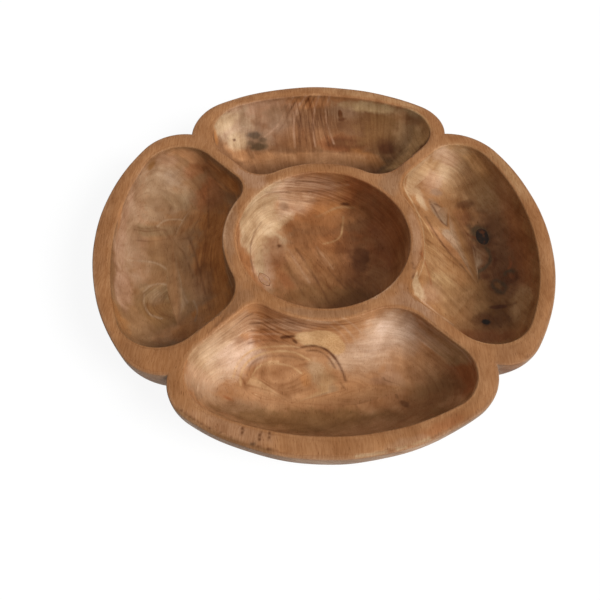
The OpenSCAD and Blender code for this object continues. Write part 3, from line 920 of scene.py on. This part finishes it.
def mark_weights(surface, x, y, long, wide, turn, strength):
    """The vertices that a soft mark colours, and how much."""
    place, normal = seen(surface["tree"], x, y)
    first = along_surface(place, normal, x, y, turn, long)
    second = along_surface(place, normal, x, y, turn + 90, wide)
    through = normal * max(first.length, second.length)
    to_mark = np.linalg.inv(np.array([first, second, through]).T)
    pick = np.flatnonzero(surface["zones"] == zone_at(surface, place))
    reach = np.linalg.norm((surface["points"][pick] - np.array(place)) @ to_mark.T, axis=1)
    ragged = surface["ragged"][pick] / max(strength, 1)
    return pick, np.minimum(strength * smooth((MARK_REACH - reach - ragged) / MARK_FADE), 1)


def smooth_line(places):
    """Points along a curve through the places."""
    ends = [places[0]] + list(places) + [places[-1]]
    out = []
    for a, b, c, d in zip(ends, ends[1:], ends[2:], ends[3:]):
        for i in range(SPAN_STEPS):
            t = i / SPAN_STEPS
            out.append([0.5 * (2 * q + (r - p) * t + (2 * p - 5 * q + 4 * r - s) * t * t
                               + (3 * q - p - 3 * r + s) * t ** 3) for p, q, r, s in zip(a, b, c, d)])
    return out + [list(places[-1])]


def line_weights(surface, line, width, strength):
    """The vertices that a thin mark along surface points colours, and how much."""
    line = np.array(line)
    points = surface["points"]
    radius = LINE_CORE * width + LINE_SOFTNESS
    reach = LINE_REACH * radius
    low, high = line.min(axis=0) - reach, line.max(axis=0) + reach
    pick = np.flatnonzero(np.all((points > low) & (points < high), axis=1))
    near = points[pick]
    best = np.full(len(pick), np.inf)
    for a, b in zip(line, line[1:]):
        span = b - a
        share = np.clip((near - a) @ span / max(span @ span, LEAST_SPAN), 0, 1)
        best = np.minimum(best, np.linalg.norm(near - a - share[:, None] * span, axis=1))
    weights = LINE_STRENGTH * strength * np.exp(-(best / radius) ** 2)
    return pick, np.clip(weights * (1 - LINE_WEAR * surface["ragged"][pick]), 0, 1)


def blend(tone, pick, weights, colour):
    tone[pick] += (np.array(COLOURS[colour]) - tone[pick]) * weights[:, None]


def paint_tone(surface):
    """The colour at each vertex: the zone's ground, the soft marks and the thin marks, some of which are
    painted sheen, highlights and shade.
    """
    tone = np.array([COLOURS[GROUNDS[zone][0]] for zone in surface["zones"]])
    for colour, *mark in MARKS:
        blend(tone, *mark_weights(surface, *mark), colour)
    edge = np.flatnonzero(surface["zones"] != LAND)
    below = BOWL_HEIGHT - surface["points"][edge, 2]
    blend(tone, edge, EDGE_BLEND * (1 - smooth((below - CROWN_DROP) / WELL_ROUND)), "rim")
    for colour, width, strength, *places in LINES:
        line = [seen(surface["tree"], x, y)[0] for x, y in smooth_line(places)]
        blend(tone, *line_weights(surface, line, width, strength), colour)
    return tone


def growth_layers(surface):
    """Height of each vertex in the layers of the wood's growth."""
    points, zones = surface["points"], surface["zones"]
    growth = np.zeros(len(points))
    for zone, (_, rise) in GROUNDS.items():
        pick = zones == zone
        growth[pick] = points[pick] @ np.array(rise)
    for seed, (length, height) in enumerate(LAYER_WARPS):
        growth += height * noise_at(points, length, WARP_SEED + seed)
    for x, y, long, wide, turn, height in SWELLS:
        place, _ = seen(surface["tree"], x, y)
        pick = zones == zone_at(surface, place)
        offset = points[pick, :2] - np.array(place.xy)
        u, v = np.array(polar(1, turn)), np.array(polar(1, turn + 90))
        bulge = ((offset @ u) / (long * MM)) ** 2 + ((offset @ v) / (wide * MM)) ** 2
        growth[pick] += height * MM * np.exp(-bulge)
    return growth


def figure_strength(surface):
    """How clearly the growth layers show: not at all on the flat top, and fading in below it."""
    points, zones = surface["points"], surface["zones"]
    figure = np.where(zones == OUTSIDE, OUTSIDE_FIGURE, WELL_FIGURE)
    for mark in FIGURES:
        pick, weights = mark_weights(surface, *mark)
        figure[pick] = np.maximum(figure[pick], weights)
    for mark in CALMS:
        pick, weights = mark_weights(surface, *mark)
        figure[pick] *= 1 - weights
    below = BOWL_HEIGHT - FIGURE_START - points[:, 2]
    return figure * smooth(below / FIGURE_FADE) * (zones != LAND)


def store(mesh, name, values):
    """Keeps one number or one colour for each vertex."""
    if values.ndim == 1:
        mesh.attributes.new(name, "FLOAT", "POINT").data.foreach_set("value", values)
    else:
        full = np.ones((len(values), 4))
        full[:, :3] = values
        mesh.attributes.new(name, "FLOAT_COLOR", "POINT").data.foreach_set("color", full.ravel())


def surface_of(bowl, points, zones):
    """What the marks need of the bowl's surface."""
    tree = BVHTree.FromPolygons([tuple(p) for p in points], [tuple(f.vertices) for f in bowl.data.polygons])
    near = KDTree(len(points))
    for i, p in enumerate(points):
        near.insert(p, i)
    near.balance()
    ragged = np.zeros(len(points))
    for i, (length, height) in enumerate(RAGGED_LENGTHS):
        ragged += height * noise_at(points, length, RAGGED_SEED + i)
    return {"points": points, "zones": zones, "tree": tree, "near": near, "ragged": ragged}


# The two let-in pieces stand this proud of the wood round them
PROUD = 0.12 * MM
INLAY_RINGS = (1.0, 0.95, 0.91, 0.8, 0.65, 0.5, 0.3, 0.12)
INLAY_EDGE_ROWS = 2
INLAY_LIP = 0.05
# The surface under a piece is looked for from this many depths away
INLAY_START = 4
INLAY_SHARP = math.radians(50)
PATCH_COLOURS = ("umber", "pink", "khaki")
KNOT_COLOURS = ("black", "black", "umber")
MOTTLE_LENGTH = 3.2 * MM
MOTTLE_SHIFT = 0.1
MOTTLE_GAIN = 1.6
PATCH_LENGTH = 17.5 * MM
PATCH_WIDTH = 9 * MM
PATCH_THICKNESS = 3 * MM
PATCH_AT = HUB + polar(WELL_RADIUS - WELL_RUN - 0.5 * MM, 200)
PATCH_TURN = 122.5
PATCH_RISE = (0.6, -0.5, 0.1)
PATCH_GRAIN = math.radians(-32)
KNOT_LENGTH = 19 * MM
KNOT_WIDTH = 11.5 * MM
KNOT_DEPTH = 5 * MM
KNOT_SEEN = (139.5, 5.5)
KNOT_TURN = 98
KNOT_STEPS = 60
KNOT_RISE = (0.9, 0.4, 0.9)
KNOT_GRAIN = math.radians(-60)
# Waves of the knot's edge: how many to a turn or so, a place in the noise, and height
KNOT_WAVES = ((2.1, 3.7, 0.10), (6, 1.3, 0.06))


def lens_outline():
    """Lens shape of the patch, long side along Y, counter-clockwise."""
    half, bulge = PATCH_LENGTH / 2, PATCH_WIDTH / 2
    radius = (half * half + bulge * bulge) / (2 * bulge)
    spread = math.degrees(math.asin(half / radius))
    right = arc_points(Vector((bulge - radius, 0)), radius, -spread, spread, CORNER_STEPS)
    return right + [-p for p in right[1:-1]]


def knot_outline():
    """Ragged oval of the knot, long side along X, counter-clockwise."""
    out = []
    for i in range(KNOT_STEPS):
        p = polar(1, 360 * i / KNOT_STEPS)
        rough = 1 + sum(height * noise.noise((n * p.x, n * p.y, at)) for n, at, height in KNOT_WAVES)
        out.append(Vector((p.x * KNOT_LENGTH / 2, p.y * KNOT_WIDTH / 2)) * min(rough, 1.0))
    return out


def build_inlay(name, surface, outline, at, across, up, out, depth):
    """A let-in piece whose top follows the bowl's surface, seen along its own direction out."""
    bm = bmesh.new()
    rows = []
    for share in INLAY_RINGS:
        rise = PROUD * float(smooth((1 - share) / INLAY_LIP))
        row = []
        for p in outline:
            start = at + (across * p.x + up * p.y) * share + out * INLAY_START * depth
            hit = surface["tree"].ray_cast(start, -out)[0]
            row.append(bm.verts.new(hit + out * rise))
        rows.append(row)
    bottom = [bm.verts.new(v.co - out * depth) for v in rows[0]]
    for upper, lower in zip([bottom] + rows, rows):
        for i in range(len(outline)):
            j = (i + 1) % len(outline)
            bm.faces.new((upper[i], upper[j], lower[j], lower[i]))
    bm.faces.new(rows[-1])
    bm.faces.new(bottom[::-1])
    bmesh.ops.recalc_face_normals(bm, faces=bm.faces)
    mesh = bpy.data.meshes.new(name)
    bm.to_mesh(mesh)
    bm.free()
    mesh.shade_smooth()
    mesh.set_sharp_from_angle(angle=INLAY_SHARP)
    numbers = [i for i in range(len(INLAY_RINGS)) for _ in outline] + [0] * len(outline)
    return link(name, mesh), numbers


def build_patch(surface):
    turn = math.radians(PATCH_TURN - 90)
    across = Vector((math.cos(turn), math.sin(turn), 0))
    up = Vector((-math.sin(turn), math.cos(turn), 0))
    at = Vector((*PATCH_AT, BOWL_HEIGHT - WELL_DEPTH))
    out = Vector((0, 0, 1))
    return build_inlay("lens_inlay", surface, lens_outline(), at, across, up, out, PATCH_THICKNESS)


def build_knot(surface):
    at, normal = seen(surface["tree"], *KNOT_SEEN)
    turn = math.radians(KNOT_TURN)
    flat = Vector((math.cos(turn), math.sin(turn), 0))
    across = (flat - normal * flat.dot(normal)).normalized()
    up = normal.cross(across)
    return build_inlay("knot_plug", surface, knot_outline(), at, across, up, normal, KNOT_DEPTH)


def new_node(tree, kind, settings=None, inputs=None):
    """Adds a node, and sets or links its inputs by name or number."""
    node = tree.nodes.new(kind)
    for key, value in (settings or {}).items():
        setattr(node, key, value)
    for key, value in (inputs or {}).items():
        if isinstance(value, bpy.types.NodeSocket):
            tree.links.new(value, node.inputs[key])
        else:
            node.inputs[key].default_value = value
    return node


def math_node(tree, operation, *values):
    return new_node(tree, "ShaderNodeMath", {"operation": operation}, dict(enumerate(values))).outputs[0]


def noise_node(tree, vector, scale, detail=2.0):
    return new_node(tree, "ShaderNodeTexNoise", inputs={"Vector": vector, "Scale": scale, "Detail": detail})


def layer_noise(tree, place, growth, scale, detail):
    """Noise that changes quickly across the growth layers and slowly along them."""
    across = math_node(tree, "MULTIPLY", growth, scale / RING_LENGTH_SCALE)
    inputs = {"Vector": place, "W": across, "Scale": RING_LENGTH_SCALE, "Detail": detail}
    return new_node(tree, "ShaderNodeTexNoise", {"noise_dimensions": "4D"}, inputs).outputs[0]


def stretched(tree, vector, scale):
    return new_node(tree, "ShaderNodeMapping", inputs={"Vector": vector, "Scale": scale}).outputs[0]


def mapped(tree, value, low, high, to_low=0.0, to_high=1.0):
    inputs = {"Value": value, "From Min": low, "From Max": high, "To Min": to_low, "To Max": to_high}
    return new_node(tree, "ShaderNodeMapRange", {"interpolation_type": "SMOOTHSTEP"}, inputs).outputs[0]


def multiplied(tree, amount, base, factor):
    """A colour multiplied by another, by an amount."""
    node = new_node(tree, "ShaderNodeMix", {"data_type": "RGBA", "blend_type": "MULTIPLY"})
    for socket, value in zip([s for s in node.inputs if s.enabled], (amount, base, factor)):
        if isinstance(value, bpy.types.NodeSocket):
            tree.links.new(value, socket)
        else:
            socket.default_value = value
    return next(s for s in node.outputs if s.enabled)


def attribute(tree, name, output="Fac"):
    return new_node(tree, "ShaderNodeAttribute", {"attribute_name": name}).outputs[output]


# Noises of the wood in the shader: repeats for each metre, and detail. The first three follow the growth
LAYER_NOISES = {"rings": (300.0, 3.0), "veins": (380.0, 1.0), "wisps": (110.0, 5.0)}
FIBRE_NOISES = {"fibres": ((950.0, 75.0, 950.0), 2.0), "pores": ((2100.0, 190.0, 2100.0), 1.0)}
BLOTCH_NOISE = (26.0, 3.0)
CLOUD_NOISE = (75.0, 4.0)
SWAY_NOISE = (34.0, 1.0)
SWAY = (0.008, 0.0, 0.008)
FINE_NOISE = (95.0, 3.0)
FINE_HEIGHT = 0.0009
RING_LENGTH_SCALE = 18.0
LINE_SCALE = 290.0
LINE_DRIFT_NOISE = (28.0, 1.0)
LINE_DRIFT = 1.2
UNEVEN_SCALE = 0.4 * LINE_SCALE

# Two limits of a value, and the amounts at them
DARK_LINE, DARK_SPAN = (0.0, 0.15, 1.0, 0.0), (0.36, 0.60, 0.0, 1.0)
LIGHT_LINE, LIGHT_SPAN = (0.28, 0.46, 0.0, 1.0), (0.40, 0.64, 1.0, 0.0)
VEIN_PATCHES = (0.36, 0.62, 0.25, 1.0)
WELL_CLOUDS = (0.0, WELL_FIGURE, 0.25, 1.0)
FLAT_FIBRES = (0.0, WELL_FIGURE, 1.0, 0.4)

# What shows in the wood, from the first layer to the last: its source, limits and amounts, the mask
# that it is kept to, and what it multiplies the wood's colour by
WOOD_LAYERS = (
    ("rings", (0.36, 0.52, 1.0, 0.0), "figure", (0.72, 0.60, 0.50, 1)),
    ("rings", (0.52, 0.68, 0.0, 1.0), "figure", (1.16, 1.22, 1.28, 1)),
    ("dark_lines", None, "figure", (0.62, 0.47, 0.36, 1)),
    ("light_lines", None, "figure", (1.26, 1.36, 1.46, 1)),
    ("wisps", (0.32, 0.50, 1.0, 0.0), None, (0.82, 0.77, 0.72, 1)),
    ("wisps", (0.50, 0.70, 0.0, 1.0), None, (1.16, 1.21, 1.26, 1)),
    ("veins", (0.008, 0.055, 0.8, 0.0), "patches", (0.46, 0.33, 0.22, 1)),
    ("fibres", (0.36, 0.64, 1.0, 0.0), "flat", (0.84, 0.78, 0.71, 1)),
    ("blotches", (0.34, 0.64, 0.0, 1.0), None, (0.86, 0.80, 0.72, 1)),
    ("clouds", (0.50, 0.70, 0.0, 1.0), "wells", (1.17, 1.21, 1.25, 1)),
    ("clouds", (0.30, 0.50, 1.0, 0.0), "wells", (0.81, 0.76, 0.71, 1)),
    ("pores", (0.63, 0.76, 0.0, 0.8), None, (0.50, 0.38, 0.28, 1)),
)
WOOD_ROUGHNESS = 0.5
KNOT_ROUGHNESS = 0.42
ROUGH_LIMITS = (0.3, 0.7)
ROUGH_SPREAD = (0.10, -0.06)
PORE_ROUGHNESS = 0.2
FIBRE_BUMP, PORE_BUMP, VEIN_BUMP = 0.8, -1.0, -0.35
BUMP_STRENGTH = 0.6
BUMP_DEPTH = 0.12 * MM
GLOSS_LEVEL = 0.13


def ring_lines(tree, place, growth):
    """Thin growth lines, some strong and some weak: the amounts of dark and of light."""
    drift = math_node(tree, "MULTIPLY", noise_node(tree, place, *LINE_DRIFT_NOISE).outputs[0], LINE_DRIFT)
    wave = math_node(tree, "PINGPONG", math_node(tree, "MULTIPLY_ADD", growth, LINE_SCALE, drift), 0.5)
    uneven = layer_noise(tree, place, growth, UNEVEN_SCALE, 1.0)
    return [math_node(tree, "MULTIPLY", mapped(tree, wave, *line), mapped(tree, uneven, *span))
            for line, span in ((DARK_LINE, DARK_SPAN), (LIGHT_LINE, LIGHT_SPAN))]


def wood_sources(tree, place, bent):
    """The values that the wood's figure comes from, by name."""
    fine = math_node(tree, "MULTIPLY", noise_node(tree, place, *FINE_NOISE).outputs[0], FINE_HEIGHT)
    growth = math_node(tree, "ADD", attribute(tree, "growth"), fine)
    out = {name: layer_noise(tree, place, growth, *size) for name, size in LAYER_NOISES.items()}
    out["veins"] = math_node(tree, "ABSOLUTE", math_node(tree, "SUBTRACT", out["veins"], 0.5))
    out["dark_lines"], out["light_lines"] = ring_lines(tree, place, growth)
    for name, (scale, detail) in FIBRE_NOISES.items():
        out[name] = noise_node(tree, stretched(tree, bent, scale), 1.0, detail).outputs[0]
    out["blotches"] = noise_node(tree, place, *BLOTCH_NOISE).outputs[0]
    out["clouds"] = noise_node(tree, bent, *CLOUD_NOISE).outputs[0]
    return out


def wood_masks(tree, blotches):
    """What the wood's figure is kept to, by name."""
    figure = attribute(tree, "figure")
    patches = math_node(tree, "MULTIPLY", figure, mapped(tree, blotches, *VEIN_PATCHES))
    wells, flat = (mapped(tree, figure, *limits) for limits in (WELL_CLOUDS, FLAT_FIBRES))
    return {"figure": figure, "patches": patches, "wells": wells, "flat": flat}


def wood_colour(tree, sources):
    """The painted tone with all the figure over it, and the last amount of each source."""
    masks = wood_masks(tree, sources["blotches"])
    colour, amounts = attribute(tree, "tone", "Color"), {}
    for source, limits, mask, factor in WOOD_LAYERS:
        amount = mapped(tree, sources[source], *limits) if limits else sources[source]
        if mask:
            amount = math_node(tree, "MULTIPLY", amount, masks[mask])
        colour = multiplied(tree, amount, colour, factor)
        amounts[source] = amount
    return colour, amounts


def wood(name, turn=0.0, roughness=WOOD_ROUGHNESS):
    """Oiled wood: growth layers, thin veins, fibres along one direction, pores and soft blotches."""
    material = bpy.data.materials.new(name)
    material.use_nodes = True
    tree = material.node_tree
    shader = tree.nodes["Principled BSDF"]
    place = new_node(tree, "ShaderNodeTexCoord").outputs["Object"]
    if turn:
        turned = {"Vector": place, "Rotation": (0, 0, turn)}
        place = new_node(tree, "ShaderNodeMapping", inputs=turned).outputs[0]
    sway = noise_node(tree, place, *SWAY_NOISE).outputs["Color"]
    bent = new_node(tree, "ShaderNodeVectorMath", {"operation": "MULTIPLY_ADD"},
                    {0: sway, 1: SWAY, 2: place}).outputs[0]
    sources = wood_sources(tree, place, bent)
    colour, amounts = wood_colour(tree, sources)
    ends = [roughness + spread for spread in ROUGH_SPREAD]
    rough = mapped(tree, sources["fibres"], *ROUGH_LIMITS, *ends)
    rough = math_node(tree, "MULTIPLY_ADD", amounts["pores"], PORE_ROUGHNESS, rough)
    height = math_node(tree, "MULTIPLY", sources["fibres"], FIBRE_BUMP)
    for source, amount in (("pores", PORE_BUMP), ("veins", VEIN_BUMP)):
        height = math_node(tree, "MULTIPLY_ADD", amounts[source], amount, height)
    bump = new_node(tree, "ShaderNodeBump",
                    inputs={"Strength": BUMP_STRENGTH, "Distance": BUMP_DEPTH, "Height": height})
    for socket, value in (("Base Color", colour), ("Roughness", rough), ("Normal", bump.outputs[0])):
        tree.links.new(value, shader.inputs[socket])
    shader.inputs["Specular IOR Level"].default_value = GLOSS_LEVEL
    return material


# The key light comes from the right front as from a broad far lamp, even over the whole floor
KEY_FROM = Vector((1.5, -1.0, 1.5))
KEY_LIGHT = 3.33
KEY_SPREAD = math.radians(27)


def add_key():
    lamp = bpy.data.lights.new("key", "SUN")
    lamp.energy = KEY_LIGHT
    lamp.angle = KEY_SPREAD
    rig = bpy.data.objects.new("key", lamp)
    rig.location = KEY_FROM
    rig.rotation_euler = (-KEY_FROM).to_track_quat("-Z", "Y").to_euler()
    bpy.context.collection.objects.link(rig)


def white_to_the_eye(tree):
    """1 for rays from the camera, a reflection or a glass, and 0 for rays that carry light."""
    path = new_node(tree, "ShaderNodeLightPath")
    seen_or_glossy = math_node(tree, "MAXIMUM", path.outputs["Is Camera Ray"], path.outputs["Is Glossy Ray"])
    return math_node(tree, "MAXIMUM", seen_or_glossy, path.outputs["Is Transmission Ray"])


FLOOR_HALF = 6.0
FLOOR_COLOUR = (0.82, 0.81, 0.80, 1)
FLOOR_GLOW = 0.9
FLOOR_SHADE = (0.115, 0.115, 0.115, 1)
FLOOR_DROP = 0.3 * MM


def add_floor():
    mesh = bpy.data.meshes.new("floor")
    corners = [(x * FLOOR_HALF, y * FLOOR_HALF, -FLOOR_DROP) for x, y in ((-1, -1), (1, -1), (1, 1), (-1, 1))]
    mesh.from_pydata(corners, [], [(0, 1, 2, 3)])
    floor = link("floor", mesh)
    material = bpy.data.materials.new("floor")
    material.use_nodes = True
    tree = material.node_tree
    tree.nodes.clear()
    plain = new_node(tree, "ShaderNodeBsdfDiffuse", inputs={"Color": FLOOR_COLOUR})
    shade = new_node(tree, "ShaderNodeBsdfDiffuse", inputs={"Color": FLOOR_SHADE})
    glow = new_node(tree, "ShaderNodeEmission", inputs={"Strength": FLOOR_GLOW})
    pale = new_node(tree, "ShaderNodeAddShader", inputs={0: shade.outputs[0], 1: glow.outputs[0]})
    mix = new_node(tree, "ShaderNodeMixShader",
                   inputs={0: white_to_the_eye(tree), 1: plain.outputs[0], 2: pale.outputs[0]})
    new_node(tree, "ShaderNodeOutputMaterial", inputs={"Surface": mix.outputs[0]})
    floor.data.materials.append(material)


WORLD_LIGHT = 0.35


def add_world():
    world = bpy.data.worlds.new("world")
    bpy.context.scene.world = world
    world.use_nodes = True
    tree = world.node_tree
    tree.nodes.clear()
    strength = new_node(tree, "ShaderNodeMapRange",
                        inputs={"Value": white_to_the_eye(tree), "To Min": WORLD_LIGHT, "To Max": 1.0})
    sky = new_node(tree, "ShaderNodeBackground",
                   inputs={"Color": (1, 1, 1, 1), "Strength": strength.outputs["Result"]})
    new_node(tree, "ShaderNodeOutputWorld", inputs={"Surface": sky.outputs[0]})


def fit_out(piece, node, material):
    """Gives a piece its material and its place in the frame."""
    piece.data.materials.append(material)
    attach(piece, "root")
    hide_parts(node)


def paint_inlay(piece, rows, colours, rise):
    """Gives an inlay its dark edge, its two mottled colours and growth layers of its own."""
    points = mesh_points(piece.data)
    edge, plain, mottle = (np.array(COLOURS[name]) for name in colours)
    share = smooth(MOTTLE_SHIFT + MOTTLE_GAIN * noise_at(points, MOTTLE_LENGTH, MOTTLE_SEED))[:, None]
    inner = (np.array(rows) >= INLAY_EDGE_ROWS)[:, None]
    store(piece.data, "tone", np.where(inner, plain + (mottle - plain) * share, edge))
    store(piece.data, "growth", points @ np.array(rise))
    store(piece.data, "figure", np.full(len(points), WELL_FIGURE))


bowl, points, zones = build_bowl()
surface = surface_of(bowl, points, zones)
patch, patch_rows = build_patch(surface)
knot, knot_rows = build_knot(surface)
paint_inlay(patch, patch_rows, PATCH_COLOURS, PATCH_RISE)
paint_inlay(knot, knot_rows, KNOT_COLOURS, KNOT_RISE)
store(bowl.data, "tone", paint_tone(surface))
store(bowl.data, "growth", growth_layers(surface))
store(bowl.data, "figure", figure_strength(surface))
fit_out(bowl, "carved_bowl", wood("bowl_wood"))
fit_out(patch, "lens_patch", wood("patch_wood", PATCH_GRAIN))
fit_out(knot, "knot_fill", wood("knot_wood", KNOT_GRAIN, KNOT_ROUGHNESS))
add_camera()
add_floor()
add_world()
add_key()
bpy.context.scene.view_settings.view_transform = "Standard"
